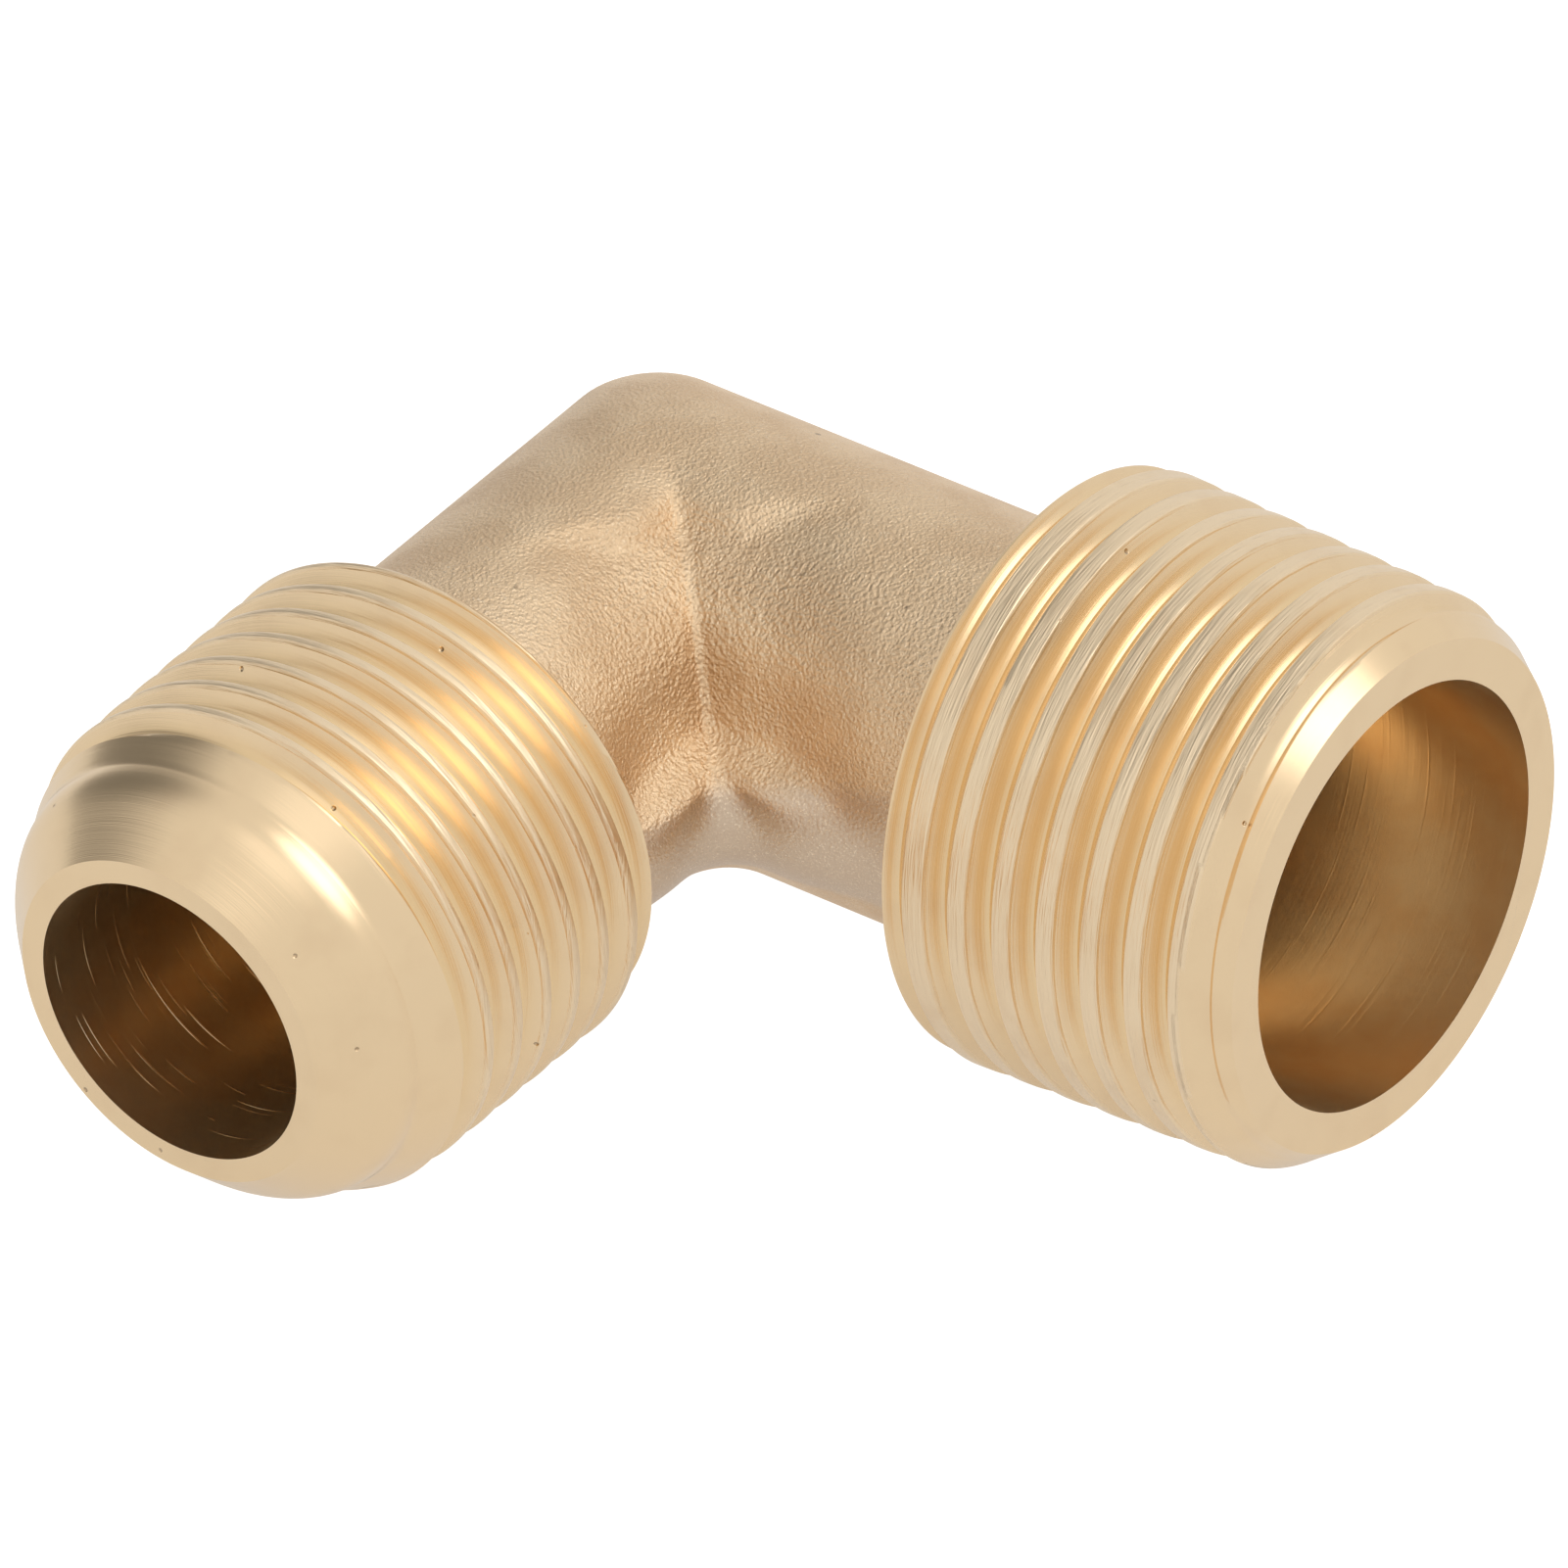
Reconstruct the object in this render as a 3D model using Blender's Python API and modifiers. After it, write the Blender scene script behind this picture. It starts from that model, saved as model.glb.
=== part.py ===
"""Brass 90 degree elbow: 1/2 in 45 degree flare, 3/4-16 UNF thread, by 1/2-14 taper pipe thread, both male.

The elbow is one forging, machined at both ends, so the model is one solid. Metres, +Z up. The two
bore axes lie level: the pipe end points to +X and the flare end to -Y. The origin is under the
middle of the box round the part, on the surface that it lies on.
"""

import math

import bmesh
import bpy
from mathutils import Matrix, Vector

MM = 0.001
INCH = 25.4 * MM

# Forged elbow, measured from the point where the two bore axes cross.
LEG_RADIUS = 7.5 * MM
OUTER_CORNER_RADIUS = 3.1 * MM
INNER_CORNER_RADIUS = 2.0 * MM
LEG_INTO_DRUM = 1.2 * MM

# Pipe end: 1/2-14 taper pipe thread.
PIPE_FACE = 30.8 * MM
PIPE_DRUM_BACK = 16.6 * MM
PIPE_PITCH = INCH / 14
PIPE_TAPER = 1 / 32
PIPE_CREST_AT_FACE = 10.34 * MM
PIPE_THREAD_DEPTH = 1.2 * MM
PIPE_GROOVE_BACK_TURNS = 1.1
PIPE_FACE_RADIUS = 9.3 * MM
PIPE_CHAMFER = 1.5 * MM
PIPE_BORE_RADIUS = 7.8 * MM
PIPE_BORE_DEPTH = 11.5 * MM

# Flare end: 45 degree nose, 3/4-16 UNF straight thread.
FLARE_FACE = 28.3 * MM
FLARE_DRUM_BACK = 13.4 * MM
FLARE_PITCH = INCH / 16
FLARE_CREST = 9.5 * MM
FLARE_THREAD_DEPTH = 0.95 * MM
FLARE_GROOVE_BACK_TURNS = 0.53
FLARE_FACE_RADIUS = 6.35 * MM
FLARE_SEAT_RADIUS = 7.5 * MM
FLARE_NECK = 25.35 * MM
FLARE_NECK_RADIUS = 8.5 * MM
FLARE_LEAD = 24.2 * MM
FLARE_LEAD_RADIUS = 9.2 * MM
FLARE_BORE_RADIUS = 5.45 * MM

BACK_CHAMFER = 0.2 * MM
DRILL_POINT_ANGLE = math.radians(118)
BORE_PAST_CROSSING = 2.2 * MM
CUTTER_OVERRUN = 2.0 * MM

# Thread grooves: a 60 degree V that starts behind the drum (by the turns given above) and runs out at each end.
FLANK_TANGENT = math.tan(math.radians(30))
RUN_OUT_TURNS = 0.5
ROUND_STEPS = 48
CORNER_STEPS = 6

# Lays the part on its widest round, the pipe thread, and centres the box round it on the origin.
PIPE_CREST_AT_BACK = PIPE_CREST_AT_FACE + (PIPE_FACE - PIPE_DRUM_BACK) * PIPE_TAPER
CROSSING = Vector((
    (FLARE_CREST - PIPE_FACE) / 2,
    (FLARE_FACE - PIPE_CREST_AT_BACK) / 2,
    PIPE_CREST_AT_BACK,
))
PIPE_TURN = Matrix.Rotation(math.radians(90), 4, "Y")
FLARE_TURN = Matrix.Rotation(math.radians(90), 4, "X")

BRASS_COLOUR = (0.72, 0.52, 0.26, 1.0)


def clear_scene():
    for item in list(bpy.data.objects):
        bpy.data.objects.remove(item, do_unlink=True)


def new_collection(name):
    collection = bpy.data.collections.new(name)
    bpy.context.scene.collection.children.link(collection)
    return collection


def brass_material():
    material = bpy.data.materials.new("brass")
    material.use_nodes = True
    shader = material.node_tree.nodes["Principled BSDF"]
    shader.inputs["Base Color"].default_value = BRASS_COLOUR
    shader.inputs["Metallic"].default_value = 1.0
    shader.inputs["Roughness"].default_value = 0.35
    return material


def add_object(name, mesh, collection, turn=None):
    item = bpy.data.objects.new(name, mesh)
    collection.objects.link(item)
    item.matrix_world = Matrix.Translation(CROSSING) @ (turn or Matrix.Identity(4))
    return item


def as_helper(item):
    item.hide_render = True
    item.display_type = "WIRE"
    return item


def mesh_from(name, source):
    bmesh.ops.recalc_face_normals(source, faces=source.faces[:])
    mesh = bpy.data.meshes.new(name)
    source.to_mesh(mesh)
    source.free()
    return mesh


def turned(name, profile, collection, turn):
    """A solid of revolution about its own Z, from (radius, height) points that run down its outer side."""
    source = bmesh.new()
    points = [source.verts.new((radius, 0, height)) for radius, height in profile]
    for start, end in zip(points, points[1:]):
        source.edges.new((start, end))
    mesh = bpy.data.meshes.new(name)
    source.to_mesh(mesh)
    source.free()
    item = add_object(name, mesh, collection, turn)
    screw = item.modifiers.new("turn", "SCREW")
    screw.steps = ROUND_STEPS
    screw.render_steps = ROUND_STEPS
    screw.use_merge_vertices = True
    screw.merge_threshold = 0.01 * MM
    return as_helper(item)


def loft(source, rings):
    """Skins closed rings of equal point count with quads and closes both ends."""
    for ring, following in zip(rings, rings[1:]):
        for index in range(len(ring)):
            after = (index + 1) % len(ring)
            source.faces.new((ring[index], ring[after], following[after], following[index]))
    source.faces.new(rings[0])
    source.faces.new(rings[-1])


def leg_path(across, height, pipe_length, flare_length):
    """One line of the elbow's skin: along the pipe leg, round the corner and out along the flare leg.

    across is the line's distance from the middle of the leg, positive on the outer side of the bend.
    """
    share = (across / LEG_RADIUS + 1) / 2
    radius = INNER_CORNER_RADIUS + (OUTER_CORNER_RADIUS - INNER_CORNER_RADIUS) * share
    centre = Vector((radius - across, across - radius, height))
    points = [Vector((pipe_length, across, height))]
    for step in range(CORNER_STEPS + 1):
        angle = math.radians(90) * step / CORNER_STEPS
        points.append(centre + radius * Vector((-math.sin(angle), math.cos(angle), 0)))
    points.append(Vector((-across, -flare_length, height)))
    return points


def elbow_forging(collection):
    """The two round legs, mitred into each other, with a rounded outer corner and a small inner fillet."""
    pipe_length = PIPE_DRUM_BACK + LEG_INTO_DRUM
    flare_length = FLARE_DRUM_BACK + LEG_INTO_DRUM
    lines = []
    for step in range(ROUND_STEPS):
        angle = 2 * math.pi * step / ROUND_STEPS
        across = LEG_RADIUS * math.cos(angle)
        height = LEG_RADIUS * math.sin(angle)
        lines.append(leg_path(across, height, pipe_length, flare_length))
    source = bmesh.new()
    rings = [[source.verts.new(point) for point in ring] for ring in zip(*lines)]
    loft(source, rings)
    return add_object("elbow_body", mesh_from("elbow_body", source), collection)


def thread_groove(name, pitch, start, end, root_radius, depth, collection, turn):
    """A V groove that winds up its own Z from start to end, right-handed; root_radius is a function of height."""
    source = bmesh.new()
    turns = (end - start) / pitch
    steps = round(turns * ROUND_STEPS)
    outer = depth + CUTTER_OVERRUN / 2
    half_width = outer * FLANK_TANGENT
    rings = []
    for step in range(steps + 1):
        turned_by = step / ROUND_STEPS
        height = start + turned_by * pitch
        from_end = min(turned_by, turns - turned_by)
        lift = depth * max(0.0, 1 - from_end / RUN_OUT_TURNS)
        angle = 2 * math.pi * turned_by
        spoke = Vector((math.cos(angle), math.sin(angle)))
        root = root_radius(height) + lift
        rim = root_radius(height) + outer
        section = ((root, height), (rim, height + half_width), (rim, height - half_width))
        rings.append([source.verts.new((*(spoke * radius), level)) for radius, level in section])
    loft(source, rings)
    return as_helper(add_object(name, mesh_from(name, source), collection, turn))


def cut(item, tool):
    modifier = item.modifiers.new("cut " + tool.name, "BOOLEAN")
    modifier.operation = "DIFFERENCE"
    modifier.solver = "EXACT"
    modifier.object = tool


def join(item, other):
    modifier = item.modifiers.new("join " + other.name, "BOOLEAN")
    modifier.operation = "UNION"
    modifier.solver = "EXACT"
    modifier.object = other


def pipe_end(collection):
    profile = (
        (0, PIPE_FACE),
        (PIPE_FACE_RADIUS, PIPE_FACE),
        (PIPE_CREST_AT_FACE + PIPE_CHAMFER * PIPE_TAPER, PIPE_FACE - PIPE_CHAMFER),
        (PIPE_CREST_AT_BACK - BACK_CHAMFER * PIPE_TAPER, PIPE_DRUM_BACK + BACK_CHAMFER),
        (PIPE_CREST_AT_BACK - BACK_CHAMFER, PIPE_DRUM_BACK),
        (0, PIPE_DRUM_BACK),
    )
    drum = turned("pipe_drum", profile, collection, PIPE_TURN)

    def root_radius(height):
        return PIPE_CREST_AT_FACE + (PIPE_FACE - height) * PIPE_TAPER - PIPE_THREAD_DEPTH

    start = PIPE_DRUM_BACK - PIPE_GROOVE_BACK_TURNS * PIPE_PITCH
    end = PIPE_FACE + PIPE_PITCH / 4
    groove = thread_groove(
        "pipe_groove", PIPE_PITCH, start, end, root_radius, PIPE_THREAD_DEPTH, collection, PIPE_TURN)
    cut(drum, groove)
    return drum


def flare_end(collection):
    seat_foot = FLARE_FACE - (FLARE_SEAT_RADIUS - FLARE_FACE_RADIUS)
    profile = (
        (0, FLARE_FACE),
        (FLARE_FACE_RADIUS, FLARE_FACE),
        (FLARE_SEAT_RADIUS, seat_foot),
        (FLARE_NECK_RADIUS, FLARE_NECK),
        (FLARE_LEAD_RADIUS, FLARE_LEAD),
        (FLARE_CREST, FLARE_LEAD - FLARE_PITCH / 3),
        (FLARE_CREST, FLARE_DRUM_BACK + BACK_CHAMFER),
        (FLARE_CREST - BACK_CHAMFER, FLARE_DRUM_BACK),
        (0, FLARE_DRUM_BACK),
    )
    drum = turned("flare_drum", profile, collection, FLARE_TURN)

    def root_radius(height):
        return FLARE_CREST - FLARE_THREAD_DEPTH

    start = FLARE_DRUM_BACK - FLARE_GROOVE_BACK_TURNS * FLARE_PITCH
    end = FLARE_LEAD + FLARE_PITCH / 2
    groove = thread_groove(
        "flare_groove", FLARE_PITCH, start, end, root_radius, FLARE_THREAD_DEPTH, collection, FLARE_TURN)
    cut(drum, groove)
    return drum


def drilled(name, face, steps, collection, turn):
    """A drill's swept shape, from (radius, height where its full width ends) pairs, widest first."""
    slope = math.tan(DRILL_POINT_ANGLE / 2)
    height = face + CUTTER_OVERRUN
    profile = [(0, height)]
    for radius, bottom in steps:
        profile.append((radius, height))
        profile.append((radius, bottom))
        narrower = [each for each, _ in steps if each < radius] + [0]
        height = bottom - (radius - narrower[0]) / slope
    profile.append((0, height))
    return turned(name, profile, collection, turn)


def main():
    clear_scene()
    parts = new_collection("flare elbow fitting")
    tools = new_collection("cutters")
    body = elbow_forging(parts)
    join(body, pipe_end(tools))
    join(body, flare_end(tools))
    pipe_steps = (
        (PIPE_BORE_RADIUS, PIPE_FACE - PIPE_BORE_DEPTH),
        (FLARE_BORE_RADIUS, -BORE_PAST_CROSSING),
    )
    flare_steps = ((FLARE_BORE_RADIUS, -BORE_PAST_CROSSING),)
    cut(body, drilled("pipe_bore", PIPE_FACE, pipe_steps, tools, PIPE_TURN))
    cut(body, drilled("flare_bore", FLARE_FACE, flare_steps, tools, FLARE_TURN))
    body.data.materials.append(brass_material())
    body.data.shade_smooth()
    body.data.set_sharp_from_angle(angle=math.radians(30))


main()
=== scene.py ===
import math

import bpy
import numpy as np
from mathutils import Matrix, Vector


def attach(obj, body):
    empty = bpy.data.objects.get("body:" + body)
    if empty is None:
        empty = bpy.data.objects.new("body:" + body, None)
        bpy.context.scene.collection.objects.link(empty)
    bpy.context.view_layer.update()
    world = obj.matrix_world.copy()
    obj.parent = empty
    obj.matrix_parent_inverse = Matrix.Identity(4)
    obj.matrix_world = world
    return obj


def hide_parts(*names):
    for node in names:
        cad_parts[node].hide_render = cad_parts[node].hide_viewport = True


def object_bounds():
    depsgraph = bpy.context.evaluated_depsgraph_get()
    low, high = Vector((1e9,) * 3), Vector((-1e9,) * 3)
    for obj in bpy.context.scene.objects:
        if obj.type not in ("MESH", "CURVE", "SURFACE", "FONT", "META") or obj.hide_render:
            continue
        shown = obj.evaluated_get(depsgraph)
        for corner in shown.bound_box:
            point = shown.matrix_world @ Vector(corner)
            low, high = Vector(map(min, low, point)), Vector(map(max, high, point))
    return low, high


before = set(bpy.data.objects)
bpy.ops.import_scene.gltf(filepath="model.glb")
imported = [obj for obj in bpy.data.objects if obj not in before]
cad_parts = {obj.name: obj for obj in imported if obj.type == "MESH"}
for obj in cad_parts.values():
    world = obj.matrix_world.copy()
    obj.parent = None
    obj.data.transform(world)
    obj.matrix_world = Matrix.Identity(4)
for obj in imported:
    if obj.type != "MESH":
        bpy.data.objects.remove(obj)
cadLow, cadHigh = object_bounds()

# Lengths in the tables below are millimetres, measured from the point where the two bore axes cross.
mm = 0.001
inch = 25.4


def smoothStep(value):
    value = np.clip(value, 0.0, 1.0)
    return value * value * (3 - 2 * value)


def fadeBetween(value, start, end):
    return smoothStep((value - start) / (end - start))


def bump(value, centre, width):
    return np.exp(-((value - centre) / width) ** 2)


def softMin(first, second, blend):
    share = np.clip(0.5 + 0.5 * (second - first) / blend, 0, 1)
    return second + (first - second) * share - blend * share * (1 - share)


pipeEnd = {
    "face": 30.8,
    "back": 16.3,
    "pitch": inch / 14,
    "crestAt": 0.65,            # a crest's place where the angle is zero
    "taper": 1 / 32,
    "crestAtFace": 10.32,
    "flat": 0.62,               # width of the crest flat
    "flank": 1.6,               # rise over run of the groove's sides
    "rootRound": 0.25,
    "backLift": 0.18,           # the thread cuts less deep towards the back
    "backLiftEnd": 21.0,
    "runOutAngle": 135.8,       # where the thread runs out of the drum's back
    "chamfer": 1.5,
    "faceRadius": 9.3,
    "boreRadius": 7.8,
    "boreDepth": 11.5,
    "capRadius": 6.4,           # the drum's back is closed inside the leg, at this radius
    "around": 200,
}
flareEnd = {
    "face": 28.3,
    "back": 13.4,
    "pitch": inch / 16,
    "crestAt": 0.40,
    "crestRadius": 9.49,
    "flat": 0.28,
    "flank": 1.6,
    "rootRound": 0.25,
    "threadEnd": 24.3,
    "threadEndRadius": 9.1,
    "neck": 25.35,
    "neckRadius": 8.45,
    "seatRadius": 7.45,
    "faceRadius": 6.35,
    "boreRadius": 5.45,
    "capRadius": 6.4,
    "around": 190,
}
elbow = {
    "legRadius": 7.5,
    "outerRound": 3.1,
    "innerRound": 2.0,
    "valleyRound": 0.35,
    "intoDrum": 1.4,
    "around": 168,
    "legSteps": 46,
    "cornerSteps": 14,
}


def crestRows(end):
    # rows over one turn of thread, from one groove's middle to the next, closest at the crest's two edges
    half = end["flat"] / end["pitch"] / 2
    shares = (0.0, 0.22, 0.42, 0.6, 0.74, 0.86, 0.93, 1.0)
    side = [-0.5 + (0.5 - half) * share for share in shares]
    top = [-half * 0.5, 0.0, half * 0.5]
    return side + top + [-each for each in reversed(side[1:])]


def grooveAcross(end, t, angle):
    # distance along the axis from the nearest groove's middle
    turns = (t - end["crestAt"]) / end["pitch"] - angle / (2 * math.pi)
    return (turns - np.floor(turns) - 0.5) * end["pitch"]


def threadRadius(end, crest, lift, t, angle):
    across = np.abs(grooveAcross(end, t, angle))
    halfOpen = (end["pitch"] - end["flat"]) / 2
    root = end["rootRound"]
    rise = np.sqrt((across * end["flank"]) ** 2 + root ** 2) - root
    full = math.sqrt((halfOpen * end["flank"]) ** 2 + root ** 2) - root
    return softMin(crest, crest - full + lift + rise, 0.05)


def backEdge(end, angle):
    # the drum's back follows the thread, with a step where the thread runs out
    turned = np.mod(angle - math.radians(end["runOutAngle"]), 2 * math.pi) / (2 * math.pi)
    returning = 0.6 * (1 - fadeBetween(turned, 0.6, 0.97))
    return end["back"] + end["pitch"] * np.where(turned < 0.6, turned, returning)


def pipeRadius(t, angle):
    end = pipeEnd
    crest = end["crestAtFace"] + (end["face"] - t) * end["taper"]
    lift = end["backLift"] * (1 - fadeBetween(t, end["back"], end["backLiftEnd"]))
    threaded = threadRadius(end, crest, lift, t, angle)
    slope = (crest - end["faceRadius"]) / end["chamfer"]
    chamfer = end["faceRadius"] + (end["face"] - t) * slope
    edge = crest - 0.2 + (t - backEdge(end, angle)) * 0.8
    return softMin(softMin(threaded, chamfer, 0.06), edge, 0.05)


def flareRadius(t, angle):
    end = flareEnd
    crest = end["crestRadius"] - 0.01 * (t - end["back"])
    threaded = threadRadius(end, crest, 0.0, t, angle)
    slope = (end["crestRadius"] - end["threadEndRadius"]) / (end["pitch"] / 2)
    lead = end["threadEndRadius"] + (end["threadEnd"] - t) * slope
    edge = crest - 0.15 + (t - end["back"]) * 0.8
    return softMin(softMin(threaded, lead, 0.05), edge, 0.05)


def helixRings(end, low, high, radiusAt):
    # rows that follow the thread, held between low and high, as (t, radius) over the angle
    angle = 2 * math.pi * np.arange(end["around"]) / end["around"]
    rows = crestRows(end)
    firstTurn = math.floor((np.min(low) - end["crestAt"]) / end["pitch"]) - 2
    lastTurn = math.ceil((high - end["crestAt"]) / end["pitch"]) + 1
    turns = np.concatenate([np.array(rows) + turn for turn in range(firstTurn, lastTurn + 1)])
    t = end["crestAt"] + (turns[:, None] + angle[None, :] / (2 * math.pi)) * end["pitch"]
    t = np.clip(t, low, high)
    return t, radiusAt(t, angle[None, :]), len(rows)


def gridFaces(rows, around, seamShift, offset=0):
    row = np.arange(rows - 1)[:, None]
    spot = np.arange(around)[None, :]
    after = (spot + 1) % around
    shift = np.where(spot == around - 1, seamShift, 0)
    lower = np.minimum(row + shift, rows - 1)
    upper = np.minimum(row + 1 + shift, rows - 1)
    a = row * around + spot
    b = lower * around + after
    c = upper * around + after
    d = (row + 1) * around + spot
    faces = np.stack(np.broadcast_arrays(a, b, c, d), axis=-1).reshape(-1, 4)
    return faces + offset


def weldedMesh(name, points, faces, caps):
    # points that fall together become one, and faces that close up go
    keys = np.round(points, 6)
    _, first, back = np.unique(keys, axis=0, return_index=True, return_inverse=True)
    back = back.reshape(-1)
    kept = []
    for face in back[faces].tolist():
        loop = [spot for index, spot in enumerate(face) if spot != face[index - 1]]
        if len(loop) > 2 and len(set(loop)) == len(loop):
            kept.append(loop)
    for cap in caps:
        kept.append([back[spot] for spot in cap])
    mesh = bpy.data.meshes.new(name)
    mesh.from_pydata((points[first] * mm).tolist(), [], kept)
    mesh.validate()
    return mesh


def roundSolid(name, t, radius, seamShift):
    # a closed solid about its own Z from rows of (t, radius); caps are flat
    rows, around = t.shape
    angle = 2 * math.pi * np.arange(around) / around
    points = np.stack([radius * np.cos(angle), radius * np.sin(angle), t], axis=-1).reshape(-1, 3)
    faces = gridFaces(rows, around, seamShift)
    firstCap = list(range(around))[::-1]
    lastCap = [(rows - 1) * around + spot for spot in range(around)]
    return weldedMesh(name, points, faces, [firstCap, lastCap])


def place(name, mesh, turn, materials):
    for material in materials:
        mesh.materials.append(material)
    thing = bpy.data.objects.new(name, mesh)
    bpy.context.scene.collection.objects.link(thing)
    thing.matrix_world = Matrix.Translation(crossing) @ turn
    return thing


pipeTurn = Matrix.Rotation(math.radians(90), 4, "Y")
flareTurn = Matrix.Rotation(math.radians(90), 4, "X")
crossing = Vector((
    cadHigh.x - pipeEnd["face"] * mm,
    cadLow.y + flareEnd["face"] * mm,
    10.784 * mm,                 # half the pipe drum's height at its back
))


def backRings(end, t, radius):
    # the drum's back as rings, from inside the leg out to its edge
    shares = np.array([0.0, 0.3, 0.5, 0.7, 0.9])[:, None]
    ringRadius = end["capRadius"] + (radius[:1] - end["capRadius"]) * shares
    ringT = np.where(shares > 0, t[:1], np.mean(t[0]))
    return ringT, ringRadius


def drumMesh(name, end, rowT, rowRadius, shift, afterT, afterRadius):
    # back rings, threaded rows whose seam is one turn apart, then plain rows to the face
    backT, backRadius = backRings(end, rowT, rowRadius)
    t = np.concatenate([backT, rowT, afterT])
    radius = np.concatenate([backRadius, rowRadius, afterRadius])
    around = end["around"]
    angle = 2 * math.pi * np.arange(around) / around
    points = np.stack([radius * np.cos(angle), radius * np.sin(angle), t], axis=-1).reshape(-1, 3)
    threadStart = len(backT)
    threadEnd = threadStart + len(rowT) - 1
    faces = np.concatenate([
        gridFaces(threadStart + 1, around, 0),
        gridFaces(len(rowT), around, shift, threadStart * around),
        gridFaces(len(afterT) + 1, around, 0, threadEnd * around),
    ])
    firstCap = list(range(around))[::-1]
    lastCap = [(len(t) - 1) * around + spot for spot in range(around)]
    return weldedMesh(name, points, faces, [firstCap, lastCap])


def pipeDrum(materials):
    end = pipeEnd
    angle = 2 * math.pi * np.arange(end["around"]) / end["around"]
    t, radius, shift = helixRings(end, backEdge(end, angle), end["face"], pipeRadius)
    mesh = drumMesh("pipeDrum", end, t, radius, shift, t[:0], radius[:0])
    return place("pipeDrum", mesh, pipeTurn, materials)


def noseProfile():
    # (t, radius) from the thread's end to the face: neck cone, convex shoulder, 45 degree seat, face
    end = flareEnd
    points = []
    for share in np.linspace(0, 1, 7)[1:]:
        points.append((
            end["threadEnd"] + (end["neck"] - end["threadEnd"]) * share,
            end["threadEndRadius"] + (end["neckRadius"] - end["threadEndRadius"]) * share,
        ))
    seatFoot = end["face"] - (end["seatRadius"] - end["faceRadius"])
    for share in np.linspace(0, 1, 15)[1:]:
        across = end["neck"] + (seatFoot - end["neck"]) * share
        drop = (end["neckRadius"] - end["seatRadius"]) * share
        crown = 0.28 * math.sin(math.pi * share)
        points.append((across, end["neckRadius"] - drop + crown))
    for share in np.linspace(0, 1, 9)[1:]:
        points.append((
            seatFoot + (end["face"] - seatFoot) * share,
            end["seatRadius"] + (end["faceRadius"] - end["seatRadius"]) * share,
        ))
    return points


def flareDrum(materials):
    end = flareEnd
    t, radius, shift = helixRings(end, end["back"], end["threadEnd"], flareRadius)
    profile = np.array(noseProfile())
    noseT = np.repeat(profile[:, :1], end["around"], axis=1)
    noseRadius = np.repeat(profile[:, 1:], end["around"], axis=1)
    mesh = drumMesh("flareDrum", end, t, radius, shift, noseT, noseRadius)
    return place("flareDrum", mesh, flareTurn, materials)


def boreTool(name, steps, turn, materials):
    # what the drills took out, from (t, radius) points, with rows close enough to carry the tool marks
    points = []
    for (t0, r0), (t1, r1) in zip(steps, steps[1:]):
        count = max(1, round(math.hypot(t1 - t0, r1 - r0) / 0.9))
        for share in np.arange(count) / count:
            points.append((t0 + (t1 - t0) * share, r0 + (r1 - r0) * share))
    points.append(steps[-1])
    profile = np.array(points)
    around = 144
    t = np.repeat(profile[:, :1], around, axis=1)
    radius = np.repeat(profile[:, 1:], around, axis=1)
    return place(name, roundSolid(name, t, radius, 0), turn, materials)


def forgedSection(across, height, fromMitre):
    # the section a distance out from the mitre along a leg: the inner flank is set back from a crease, and
    # the trimmed parting land stands out at the foot of it
    radius = np.hypot(across, height)
    fromTop = np.degrees(np.arctan2(-across, height))        # 0 on top, 90 at the inner side
    near = 1 - fadeBetween(fromMitre, 2.5, 8.0)
    crease = 18 - 20 * fadeBetween(fromMitre, 1.5, 7.0)
    setBack = 0.5 * fadeBetween(fromTop, crease - 3, crease + 7)
    setBack = setBack + 0.3 * bump(fromTop, 66, 12)
    setBack = setBack * (fromTop < 120) * (1 - fadeBetween(fromTop, 74, 84))
    land = 0.75 * fadeBetween(fromTop, 76, 86) * (1 - fadeBetween(fromTop, 100, 128))
    landNear = 1 - fadeBetween(fromMitre, 0.5, 4.5)
    radius = radius - setBack * near + land * landNear
    angle = np.radians(fromTop)
    return -radius * np.sin(angle), radius * np.cos(angle)


def elbowForging(materials):
    shape = elbow
    turn = 2 * math.pi * np.arange(shape["around"]) / shape["around"]
    across = shape["legRadius"] * np.cos(turn)
    height = shape["legRadius"] * np.sin(turn)
    share = (across / shape["legRadius"] + 1) / 2
    rounding = shape["innerRound"] + (shape["outerRound"] - shape["innerRound"]) * share
    valley = fadeBetween(-across, -1.0, 2.0) * fadeBetween(height, -0.5, 1.5)
    rounding = rounding * (1 - valley) + shape["valleyRound"] * valley
    cornerA, cornerZ = forgedSection(across, height, 0)
    start = rounding - cornerA

    def legRings(length):
        for step in range(1, shape["legSteps"] + 1):
            out = start + (length - start) * (step / shape["legSteps"]) ** 1.3
            a, z = forgedSection(across, height, out - start)
            yield out, a, z

    pipeLength = pipeEnd["back"] + shape["intoDrum"]
    flareLength = flareEnd["back"] + shape["intoDrum"]
    pipeRings = [np.stack([out, a, z], axis=-1) for out, a, z in legRings(pipeLength)]
    flareRings = [np.stack([-a, -out, z], axis=-1) for out, a, z in legRings(flareLength)]
    cornerRings = []
    for angle in np.linspace(0, math.pi / 2, shape["cornerSteps"] + 1):
        x = start - rounding * math.sin(angle)
        y = -start + rounding * math.cos(angle)
        cornerRings.append(np.stack([x, y, cornerZ], axis=-1))
    rings = flareRings[::-1] + cornerRings[::-1] + pipeRings
    points = np.stack(rings).reshape(-1, 3)
    around = shape["around"]
    faces = gridFaces(len(rings), around, 0)
    firstCap = list(range(around))[::-1]
    lastCap = [(len(rings) - 1) * around + spot for spot in range(around)]
    mesh = weldedMesh("forging", points, faces, [firstCap, lastCap])
    return place("forging", mesh, Matrix.Identity(4), materials)


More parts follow.
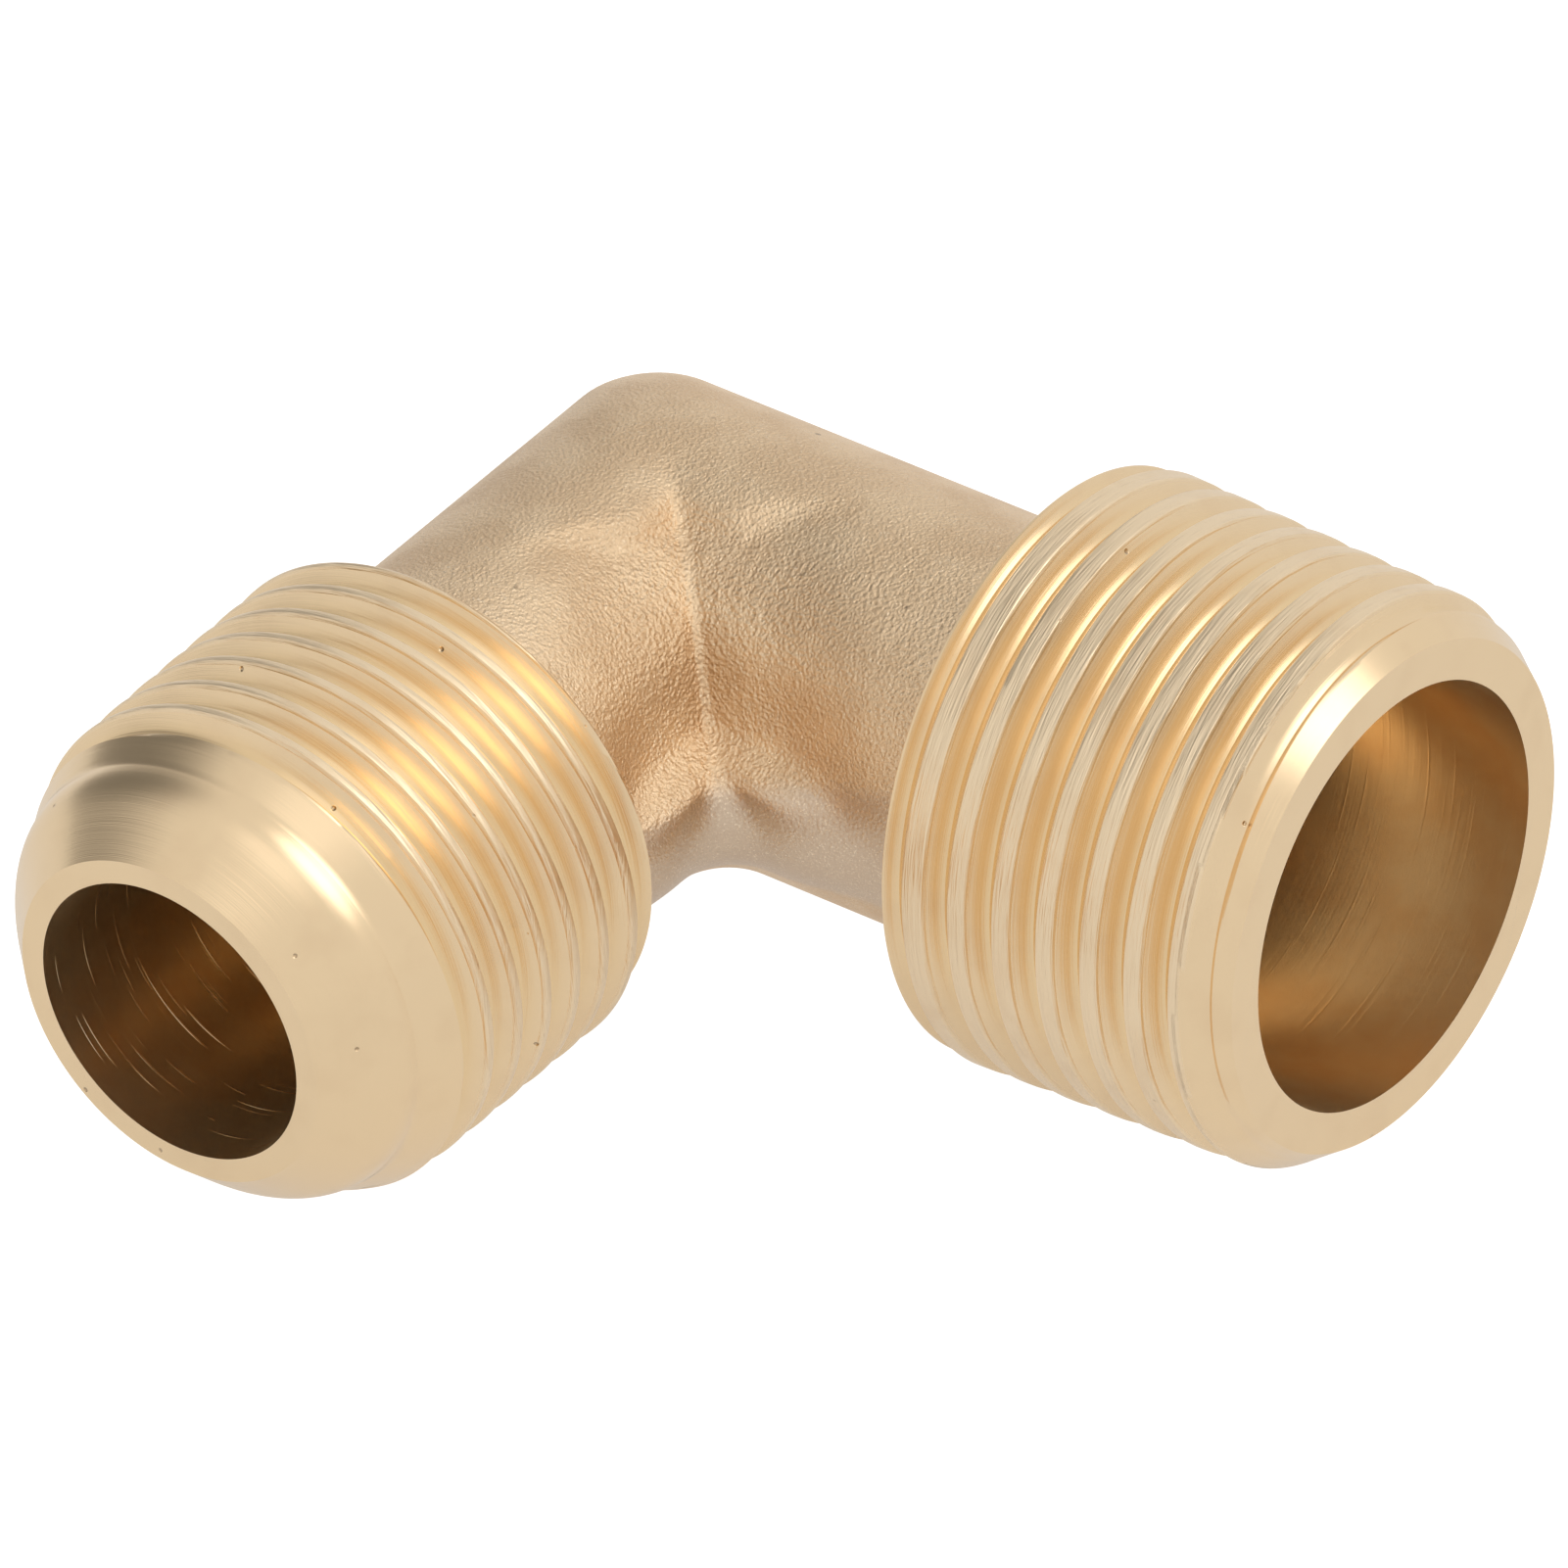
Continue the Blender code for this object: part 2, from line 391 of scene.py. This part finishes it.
def combine(body, other, operation):
    step = body.modifiers.new(operation.lower(), "BOOLEAN")
    step.operation = operation
    step.solver = "MANIFOLD"
    step.object = other


def flatten(body, helpers):
    graph = bpy.context.evaluated_depsgraph_get()
    mesh = bpy.data.meshes.new_from_object(body.evaluated_get(graph))
    body.modifiers.clear()
    old = body.data
    body.data = mesh
    bpy.data.meshes.remove(old)
    for helper in helpers:
        bpy.data.objects.remove(helper)
    return body


def newGroup(name, inputs, outputs):
    # inputs are (name, socket kind, value); outputs are (name, socket kind)
    group = bpy.data.node_groups.new(name, "ShaderNodeTree")
    for label, kind, value in inputs:
        socket = group.interface.new_socket(name=label, in_out="INPUT", socket_type="NodeSocket" + kind)
        if value is not None:
            socket.default_value = value
    for label, kind in outputs:
        group.interface.new_socket(name=label, in_out="OUTPUT", socket_type="NodeSocket" + kind)
    return group, group.nodes.new("NodeGroupInput"), group.nodes.new("NodeGroupOutput")


def setSocket(tree, socket, value):
    if isinstance(value, bpy.types.NodeSocket):
        tree.links.new(value, socket)
    else:
        socket.default_value = value


def mathNode(tree, operation, *values):
    node = tree.nodes.new("ShaderNodeMath")
    node.operation = operation
    for socket, value in zip(node.inputs, values):
        setSocket(tree, socket, value)
    return node.outputs[0]


def mapRange(tree, value, low, high, outLow=0.0, outHigh=1.0):
    node = tree.nodes.new("ShaderNodeMapRange")
    node.interpolation_type = "SMOOTHSTEP"
    for socket, given in zip(node.inputs, (value, low, high, outLow, outHigh)):
        setSocket(tree, socket, given)
    return node.outputs[0]


def noiseNode(tree, vector, scale, detail=3.0, roughness=0.5):
    node = tree.nodes.new("ShaderNodeTexNoise")
    setSocket(tree, node.inputs["Vector"], vector)
    setSocket(tree, node.inputs["Scale"], scale)
    setSocket(tree, node.inputs["Detail"], detail)
    setSocket(tree, node.inputs["Roughness"], roughness)
    return node.outputs[0]


def scaleVector(tree, vector, factor):
    node = tree.nodes.new("ShaderNodeVectorMath")
    node.operation = "MULTIPLY"
    setSocket(tree, node.inputs[0], vector)
    setSocket(tree, node.inputs[1], factor)
    return node.outputs[0]


def mixColour(tree, share, first, second):
    node = tree.nodes.new("ShaderNodeMix")
    node.data_type = "RGBA"
    setSocket(tree, node.inputs["Factor"], share)
    setSocket(tree, node.inputs[6], first)
    setSocket(tree, node.inputs[7], second)
    return node.outputs[2]


def mixValue(tree, share, first, second):
    node = tree.nodes.new("ShaderNodeMix")
    setSocket(tree, node.inputs["Factor"], share)
    setSocket(tree, node.inputs[2], first)
    setSocket(tree, node.inputs[3], second)
    return node.outputs[0]


def toolLinesGroup():
    # marks that a cutting tool leaves: long thin lines along the cut, in three widths
    group, given, made = newGroup(
        "toolLines",
        [("Cut", "Vector", None), ("Width", "Float", 0.06), ("Length", "Float", 12.0)],
        [("Height", "Float"), ("Bright", "Float")])
    split = group.nodes.new("ShaderNodeSeparateXYZ")
    group.links.new(given.outputs["Cut"], split.inputs[0])
    layers = []
    for index, (wide, long) in enumerate(((1.0, 1.0), (3.1, 1.6), (0.45, 0.5))):
        joined = group.nodes.new("ShaderNodeCombineXYZ")
        across = mathNode(group, "DIVIDE", split.outputs[0], given.outputs["Width"])
        around = mathNode(group, "DIVIDE", split.outputs[1], given.outputs["Length"])
        setSocket(group, joined.inputs[0], mathNode(group, "MULTIPLY", across, 1 / wide))
        setSocket(group, joined.inputs[1], mathNode(group, "MULTIPLY", around, 1 / long))
        joined.inputs[2].default_value = 7.3 * index
        layers.append(noiseNode(group, joined.outputs[0], 1.0, 1.0))
    height = mathNode(group, "MULTIPLY", layers[0], 0.4)
    height = mathNode(group, "MULTIPLY_ADD", layers[1], 0.4, height)
    height = mathNode(group, "MULTIPLY_ADD", layers[2], 0.2, height)
    group.links.new(height, made.inputs["Height"])
    group.links.new(mapRange(group, layers[0], 0.62, 0.78), made.inputs["Bright"])
    return group


def grainGroup():
    # a blasted, forged skin: small rounded dents and sharp flecks
    group, given, made = newGroup(
        "forgedGrain",
        [("Place", "Vector", None), ("Size", "Float", 0.2), ("Coarse", "Float", 0.0)],
        [("Height", "Float"), ("Fleck", "Float"), ("Cloud", "Float")])
    cells = mathNode(group, "DIVIDE", 1.0, given.outputs["Size"])
    dents = group.nodes.new("ShaderNodeTexVoronoi")
    dents.feature = "SMOOTH_F1"
    setSocket(group, dents.inputs["Vector"], given.outputs["Place"])
    setSocket(group, dents.inputs["Scale"], cells)
    fine = noiseNode(group, given.outputs["Place"], mathNode(group, "MULTIPLY", cells, 1.7), 4.0, 0.6)
    broad = noiseNode(group, given.outputs["Place"], mathNode(group, "MULTIPLY", cells, 0.33), 2.0)
    dentShare = mixValue(group, given.outputs["Coarse"], 0.7, 1.0)
    height = mathNode(group, "MULTIPLY", dents.outputs[0], dentShare)
    height = mathNode(group, "ADD", height, mathNode(group, "MULTIPLY", fine, 0.6))
    height = mathNode(group, "ADD", height, mathNode(group, "MULTIPLY", broad, given.outputs["Coarse"]))
    group.links.new(height, made.inputs["Height"])
    group.links.new(mapRange(group, fine, 0.55, 0.66), made.inputs["Fleck"])
    group.links.new(noiseNode(group, given.outputs["Place"], 0.35, 4.0), made.inputs["Cloud"])
    return group


def specksGroup():
    # sparse small pits
    group, given, made = newGroup(
        "specks",
        [("Place", "Vector", None), ("Spacing", "Float", 1.5), ("Size", "Float", 0.1)],
        [("Pit", "Float")])
    cells = group.nodes.new("ShaderNodeTexVoronoi")
    setSocket(group, cells.inputs["Vector"], given.outputs["Place"])
    setSocket(group, cells.inputs["Scale"], mathNode(group, "DIVIDE", 1.0, given.outputs["Spacing"]))
    reach = mathNode(group, "DIVIDE", given.outputs["Size"], given.outputs["Spacing"])
    flatPart = mathNode(group, "MULTIPLY", reach, 0.4)
    pit = mapRange(group, cells.outputs["Distance"], flatPart, reach, 1.0, 0.0)
    chosen = group.nodes.new("ShaderNodeSeparateColor")
    group.links.new(cells.outputs["Color"], chosen.inputs[0])
    group.links.new(mathNode(group, "MULTIPLY", pit, mapRange(group, chosen.outputs[0], 0.55, 0.65)),
                    made.inputs["Pit"])
    return group


toolLines = toolLinesGroup()
forgedGrain = grainGroup()
specks = specksGroup()


def useGroup(tree, group, **values):
    node = tree.nodes.new("ShaderNodeGroup")
    node.node_tree = group
    for name, value in values.items():
        setSocket(tree, node.inputs[name], value)
    return node


def readMark(tree, name):
    node = tree.nodes.new("ShaderNodeAttribute")
    node.attribute_name = name
    return node


def newBrass(name):
    material = bpy.data.materials.new(name)
    material.use_nodes = True
    tree = material.node_tree
    shader = tree.nodes["Principled BSDF"]
    shader.inputs["Metallic"].default_value = 1.0
    coordinates = tree.nodes.new("ShaderNodeTexCoord")
    place = scaleVector(tree, coordinates.outputs["Object"], (1000, 1000, 1000))
    return material, tree, shader, place


def bumpNode(tree, shader, height, depth, below=None):
    node = tree.nodes.new("ShaderNodeBump")
    node.inputs["Distance"].default_value = depth * mm
    setSocket(tree, node.inputs["Height"], height)
    if below is not None:
        tree.links.new(below.outputs[0], node.inputs["Normal"])
    tree.links.new(node.outputs[0], shader.inputs["Normal"])
    return node


forgedLook = {
    "colour": (0.86, 0.64, 0.41, 1),
    "dull": (0.77, 0.555, 0.345, 1),
    "land": (0.68, 0.54, 0.41, 1),
    "fleck": (0.97, 0.80, 0.58, 1),
    "pit": (0.25, 0.17, 0.11, 1),
    "grainSize": 0.13,
    "grainDepth": 0.075,
    "roughness": 0.42,
}


def forgedBrass():
    look = forgedLook
    material, tree, shader, place = newBrass("forgedSkin")
    coarse = readMark(tree, "coarse").outputs["Fac"]
    land = readMark(tree, "land").outputs["Fac"]
    grain = useGroup(tree, forgedGrain, Place=place, Size=look["grainSize"], Coarse=coarse)
    dirt = useGroup(tree, specks, Place=place, Spacing=2.2, Size=0.16)
    cloud = mapRange(tree, grain.outputs["Cloud"], 0.38, 0.64)
    colour = mixColour(tree, cloud, look["dull"], look["colour"])
    colour = mixColour(tree, mathNode(tree, "MULTIPLY", land, 0.85), colour, look["land"])
    fleck = mathNode(tree, "MULTIPLY", grain.outputs["Fleck"], 0.7)
    colour = mixColour(tree, fleck, colour, look["fleck"])
    pit = mathNode(tree, "MULTIPLY", dirt.outputs["Pit"], 0.7)
    colour = mixColour(tree, pit, colour, look["pit"])
    tree.links.new(colour, shader.inputs["Base Color"])
    rough = mathNode(tree, "MULTIPLY_ADD", grain.outputs["Fleck"], -0.14, look["roughness"])
    rough = mathNode(tree, "MULTIPLY_ADD", cloud, -0.05, rough)
    tree.links.new(rough, shader.inputs["Roughness"])
    quiet = mixValue(tree, land, 1.0, 0.35)
    height = mathNode(tree, "MULTIPLY", grain.outputs["Height"], quiet)
    bumpNode(tree, shader, height, look["grainDepth"])
    return material


turnedLook = {
    "colour": (0.90, 0.685, 0.43, 1),
    "groove": (0.89, 0.655, 0.37, 1),
    # crests are lighter: edge wear, and a painted highlight along the crest edges
    "crest": (0.92, 0.74, 0.51, 1),
    "tarnish": (0.82, 0.60, 0.37, 1),
    "pit": (0.42, 0.27, 0.15, 1),
    "lineWidth": 0.06,
    "lineLength": 14.0,
    "lineDepth": 0.009,
    "roughness": 0.2,
}


def turnedBrassLook():
    look = turnedLook
    material, tree, shader, place = newBrass("turnedBrass")
    crest = readMark(tree, "crest").outputs["Fac"]
    groove = readMark(tree, "groove").outputs["Fac"]
    cut = readMark(tree, "cut").outputs["Vector"]
    lines = useGroup(tree, toolLines, Cut=cut, Width=look["lineWidth"], Length=look["lineLength"])
    rough = useGroup(tree, toolLines, Cut=cut, Width=0.09, Length=1.6)
    nick = useGroup(tree, specks, Place=place, Spacing=1.6, Size=0.11)
    cloud = noiseNode(tree, place, 0.5, 3.0)
    colour = mixColour(tree, groove, look["colour"], look["groove"])
    # lighter crests: edge wear and a painted highlight
    colour = mixColour(tree, mathNode(tree, "MULTIPLY", crest, 0.8), colour, look["crest"])
    tarnish = mapRange(tree, cloud, 0.45, 0.75, 0.0, 0.35)
    colour = mixColour(tree, tarnish, colour, look["tarnish"])
    pit = mathNode(tree, "MULTIPLY", nick.outputs["Pit"], 0.6)
    colour = mixColour(tree, pit, colour, look["pit"])
    tree.links.new(colour, shader.inputs["Base Color"])
    level = mathNode(tree, "MULTIPLY_ADD", crest, 0.12, look["roughness"])
    level = mathNode(tree, "MULTIPLY_ADD", lines.outputs["Height"], 0.08, level)
    tree.links.new(level, shader.inputs["Roughness"])
    tornDepth = mathNode(tree, "MULTIPLY_ADD", crest, 7.0, 0.3)
    torn = mathNode(tree, "MULTIPLY", rough.outputs["Height"], tornDepth)
    height = mathNode(tree, "ADD", lines.outputs["Height"], torn)
    height = mathNode(tree, "MULTIPLY_ADD", nick.outputs["Pit"], -6.0, height)
    bumpNode(tree, shader, height, look["lineDepth"])
    return material


boredLook = {
    # the bore colours are set lighter than the turned brass as painted light, standing in for light that
    # reaches into the bores
    "colour": (0.95, 0.76, 0.50, 1),
    "stainAndPaintedLight": (0.91, 0.67, 0.40, 1),
    # light scratch colour: tool marks, and also painted light that brightens the bores
    "scratchAndPaintedLight": (0.98, 0.80, 0.58, 1),
    "lineWidth": 0.14,
    "lineLength": 9.0,
    "lineDepth": 0.008,
    "roughness": 0.3,
}


def boredBrassLook():
    look = boredLook
    material, tree, shader, place = newBrass("boredBrass")
    cut = readMark(tree, "cut").outputs["Vector"]
    toolMarkAndPaintedLightShare = readMark(tree, "toolMarkAndPaintedLightShare").outputs["Fac"]
    lines = useGroup(tree, toolLines, Cut=cut, Width=look["lineWidth"], Length=look["lineLength"])
    # light scratches: partly tool marks, partly painted light that lightens the bores, full in the narrow
    # bores and weak on the pipe side
    scratchAndPaintedLight = mathNode(tree, "MULTIPLY", lines.outputs["Bright"], toolMarkAndPaintedLightShare)
    cloud = noiseNode(tree, place, 0.45, 3.0)
    # random blotches of darker tone; both bore colours are lightened as painted light in the bores
    colour = mixColour(tree, mapRange(tree, cloud, 0.35, 0.7), look["colour"], look["stainAndPaintedLight"])
    colour = mixColour(tree, scratchAndPaintedLight, colour, look["scratchAndPaintedLight"])
    tree.links.new(colour, shader.inputs["Base Color"])
    level = mathNode(tree, "MULTIPLY_ADD", scratchAndPaintedLight, -0.1, look["roughness"])
    tree.links.new(level, shader.inputs["Roughness"])
    height = mathNode(tree, "MULTIPLY_ADD", scratchAndPaintedLight, 2.0, lines.outputs["Height"])
    bumpNode(tree, shader, height, look["lineDepth"])
    return material


print("materials")
forgedSkin = forgedBrass()
turnedBrass = turnedBrassLook()
boredBrass = boredBrassLook()
finishes = (forgedSkin, turnedBrass, boredBrass)


def setFinish(thing, index):
    faces = thing.data.polygons
    faces.foreach_set("material_index", [index] * len(faces))


print("forging")
fitting = elbowForging(finishes)
fitting.name = "brassElbow"
print("threaded ends")
pipeThread = pipeDrum(finishes)
flareThread = flareDrum(finishes)
setFinish(pipeThread, 1)
setFinish(flareThread, 1)
print("bores")
drillSlope = math.tan(math.radians(59))    # half of a 118 degree drill point
pastCrossing = -2.2                         # how far each drill goes on past the crossing
wideBoreEnd = pipeEnd["face"] - pipeEnd["boreDepth"]
pipeSteps = [
    (pastCrossing - flareEnd["boreRadius"] / drillSlope, 0.0001),
    (pastCrossing, flareEnd["boreRadius"]),
    (wideBoreEnd - (pipeEnd["boreRadius"] - flareEnd["boreRadius"]) / drillSlope, flareEnd["boreRadius"]),
    (wideBoreEnd, pipeEnd["boreRadius"]),
    (pipeEnd["face"] + 1.0, pipeEnd["boreRadius"]),
]
flareSteps = [
    (pastCrossing - flareEnd["boreRadius"] / drillSlope, 0.0001),
    (pastCrossing, flareEnd["boreRadius"]),
    (flareEnd["face"] + 1.0, flareEnd["boreRadius"]),
]
pipeBore = boreTool("pipeBore", pipeSteps, pipeTurn, finishes)
flareBore = boreTool("flareBore", flareSteps, flareTurn, finishes)
setFinish(pipeBore, 2)
setFinish(flareBore, 2)
combine(fitting, pipeThread, "UNION")
combine(fitting, flareThread, "UNION")
combine(fitting, pipeBore, "DIFFERENCE")
combine(fitting, flareBore, "DIFFERENCE")
flatten(fitting, (pipeThread, flareThread, pipeBore, flareBore))
fitting.data.transform(fitting.matrix_world)
fitting.matrix_world = Matrix.Identity(4)
fitting.data.shade_smooth()
fitting.data.set_sharp_from_angle(angle=math.radians(32))


def addMark(mesh, name, kind, domain, values):
    mark = mesh.attributes.new(name, kind, domain)
    field = "vector" if kind == "FLOAT_VECTOR" else "value"
    mark.data.foreach_set(field, np.asarray(values, np.float32).ravel())


def markSurfaces(mesh):
    # where each finish changes: along the cut on turned faces, on crests, in grooves, at the inner corner
    points = np.empty(len(mesh.vertices) * 3, np.float32)
    mesh.vertices.foreach_get("co", points)
    points = (points.reshape(-1, 3).astype(float) - np.array(crossing)) / mm
    x, y, z = points.T
    corners = np.empty(len(mesh.loops), np.int32)
    mesh.loops.foreach_get("vertex_index", corners)
    starts = np.empty(len(mesh.polygons), np.int32)
    mesh.polygons.foreach_get("loop_start", starts)
    sizes = np.empty(len(mesh.polygons), np.int32)
    mesh.polygons.foreach_get("loop_total", sizes)
    firsts = np.repeat(starts, sizes)
    cx = x[corners]
    cy = y[corners]
    cz = z[corners]
    firstX = cx[firsts]
    onPipe = firstX > 9.0
    t = np.where(onPipe, cx, -cy)
    side = np.where(onPipe, cy, cx)
    radius = np.hypot(side, cz)
    angle = np.mod(np.arctan2(side, -cz), 2 * np.pi)
    lead = angle[firsts]
    angle = np.where(angle - lead > np.pi, angle - 2 * np.pi, angle)
    angle = np.where(angle - lead < -np.pi, angle + 2 * np.pi, angle)
    pitch = np.where(onPipe, pipeEnd["pitch"], flareEnd["pitch"])
    threaded = np.where(onPipe, t < 29.2, t < flareEnd["threadEnd"]) & (radius > 7.9)
    helix = np.where(threaded, pitch * angle / (2 * np.pi), 0)
    across = t - radius - np.where(onPipe, helix, -helix)
    addMark(mesh, "cut", "FLOAT_VECTOR", "CORNER", np.stack([across, angle * 9.0, 0 * angle], axis=-1))
    pipeSide = x > 15
    rim = np.where(pipeSide, np.hypot(y, z), np.hypot(x, z))
    crestAt = np.where(pipeSide, pipeEnd["crestAtFace"] + (pipeEnd["face"] - x) * pipeEnd["taper"],
                       flareEnd["crestRadius"] - 0.01 * (-y - flareEnd["back"]))
    below = crestAt - rim
    threads = (pipeSide & (x < 29.3)) | (~pipeSide & (-y > 13.0) & (-y < 23.9))
    # crest mask: rougher, torn crests, and a lighter colour as edge wear and painted highlight
    addMark(mesh, "crest", "FLOAT", "POINT", threads * (1 - fadeBetween(below, 0.02, 0.16)))
    addMark(mesh, "groove", "FLOAT", "POINT", threads * fadeBetween(below, 0.2, 0.9))
    out = np.maximum(x, -y)
    inner = np.where(x > -y, -y, x)
    fromTop = np.degrees(np.arctan2(inner, z))
    near = 1 - fadeBetween(out, 6.0, 14.0)
    innerFlank = fadeBetween(fromTop, 12, 28) * (1 - fadeBetween(fromTop, 75, 95))
    addMark(mesh, "coarse", "FLOAT", "POINT", innerFlank * near)
    landTop = 82 - 12 * fadeBetween(x, 8.0, 16.0)
    landHere = fadeBetween(fromTop, landTop, landTop + 5) * (1 - fadeBetween(fromTop, 112, 118))
    addMark(mesh, "land", "FLOAT", "POINT", landHere * (out > 3))
    # share of the light bore scratches, partly tool marks and partly painted light: weak on the pipe side
    # beyond 15 mm, full elsewhere
    addMark(mesh, "toolMarkAndPaintedLightShare", "FLOAT", "POINT", np.where(x > 15, 0.15, 1.0))


markSurfaces(fitting.data)
print("faces", len(fitting.data.polygons), "points", len(fitting.data.vertices))

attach(fitting, "root")
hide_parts("elbow_body")

view = {
    "azimuth": 39.4103,
    "elevation": 36.9521,
    "roll": -3.9043,
    "distance": 0.941382,
    "lens": 625.5,
    "aimRight": 3.8103,          # the aim point, right of and above the crossing as the camera sees it
    "aimUp": -6.2782,
}


def addCamera():
    azimuth = math.radians(view["azimuth"])
    elevation = math.radians(view["elevation"])
    roll = math.radians(view["roll"])
    back = Vector((
        math.sin(azimuth) * math.cos(elevation),
        -math.cos(azimuth) * math.cos(elevation),
        math.sin(elevation),
    ))
    right = Vector((math.cos(azimuth), math.sin(azimuth), 0))
    up = right.cross(-back)
    tiltedRight = math.cos(roll) * right + math.sin(roll) * up
    tiltedUp = -math.sin(roll) * right + math.cos(roll) * up
    aim = crossing + (view["aimRight"] * tiltedRight + view["aimUp"] * tiltedUp) * mm
    camera = bpy.data.cameras.new("camera")
    camera.lens = view["lens"]
    camera.sensor_width = 36
    camera.clip_start = 0.05
    camera.clip_end = 20
    seat = bpy.data.objects.new("camera", camera)
    bpy.context.scene.collection.objects.link(seat)
    turn = Matrix((tiltedRight, tiltedUp, back)).transposed().to_4x4()
    seat.matrix_world = Matrix.Translation(aim + back * view["distance"]) @ turn
    bpy.context.scene.camera = seat


studio = {
    "tent": 0.82,
    # softer and darker areas of the tent: azimuth, elevation, reach in degrees, how much brighter
    "areas": (
        (113, 55, 28, 1.7),
        (22, 55, 26, 0.35),
        (-94, 26, 46, -0.62),
    ),
    "floorSeen": 1.0,
    "floorGlow": 0.5,
}


def addFloor():
    half = 1.5
    mesh = bpy.data.meshes.new("floor")
    corners = [(-half, -half, 0), (half, -half, 0), (half, half, 0), (-half, half, 0)]
    mesh.from_pydata(corners, [], [(0, 1, 2, 3)])
    floor = bpy.data.objects.new("floor", mesh)
    bpy.context.scene.collection.objects.link(floor)
    material = bpy.data.materials.new("paleFloor")
    material.use_nodes = True
    tree = material.node_tree
    shader = tree.nodes["Principled BSDF"]
    shader.inputs["Base Color"].default_value = (0.32, 0.32, 0.32, 1)
    shader.inputs["Roughness"].default_value = 0.9
    shader.inputs["Specular IOR Level"].default_value = 0.0
    shader.inputs["Emission Color"].default_value = (1, 1, 1, 1)
    path = tree.nodes.new("ShaderNodeLightPath")
    seen = mixValue(tree, path.outputs["Is Camera Ray"], studio["floorGlow"], studio["floorSeen"])
    tree.links.new(seen, shader.inputs["Emission Strength"])
    mesh.materials.append(material)


def directionAt(azimuth, elevation):
    a, e = math.radians(azimuth), math.radians(elevation)
    return (math.sin(a) * math.cos(e), -math.cos(a) * math.cos(e), math.sin(e))


def facing(tree, vector, towards):
    node = tree.nodes.new("ShaderNodeVectorMath")
    node.operation = "DOT_PRODUCT"
    setSocket(tree, node.inputs[0], vector)
    node.inputs[1].default_value = towards
    return node.outputs["Value"]


def addWorld():
    world = bpy.data.worlds.new("studio")
    bpy.context.scene.world = world
    world.use_nodes = True
    tree = world.node_tree
    background = tree.nodes["Background"]
    background.inputs["Color"].default_value = (1, 1, 1, 1)
    around = tree.nodes.new("ShaderNodeTexCoord").outputs["Generated"]
    level = studio["tent"]
    for azimuth, elevation, reach, change in studio["areas"]:
        near = facing(tree, around, directionAt(azimuth, elevation))
        edge = math.cos(math.radians(reach))
        level = mathNode(tree, "ADD", mapRange(tree, near, edge, 1.0, 0.0, change), level)
    path = tree.nodes.new("ShaderNodeLightPath")
    level = mixValue(tree, path.outputs["Is Camera Ray"], level, 1.0)
    tree.links.new(level, background.inputs["Strength"])


print("camera, floor and light")
addCamera()
addFloor()
addWorld()
bpy.context.scene.view_settings.view_transform = "Standard"
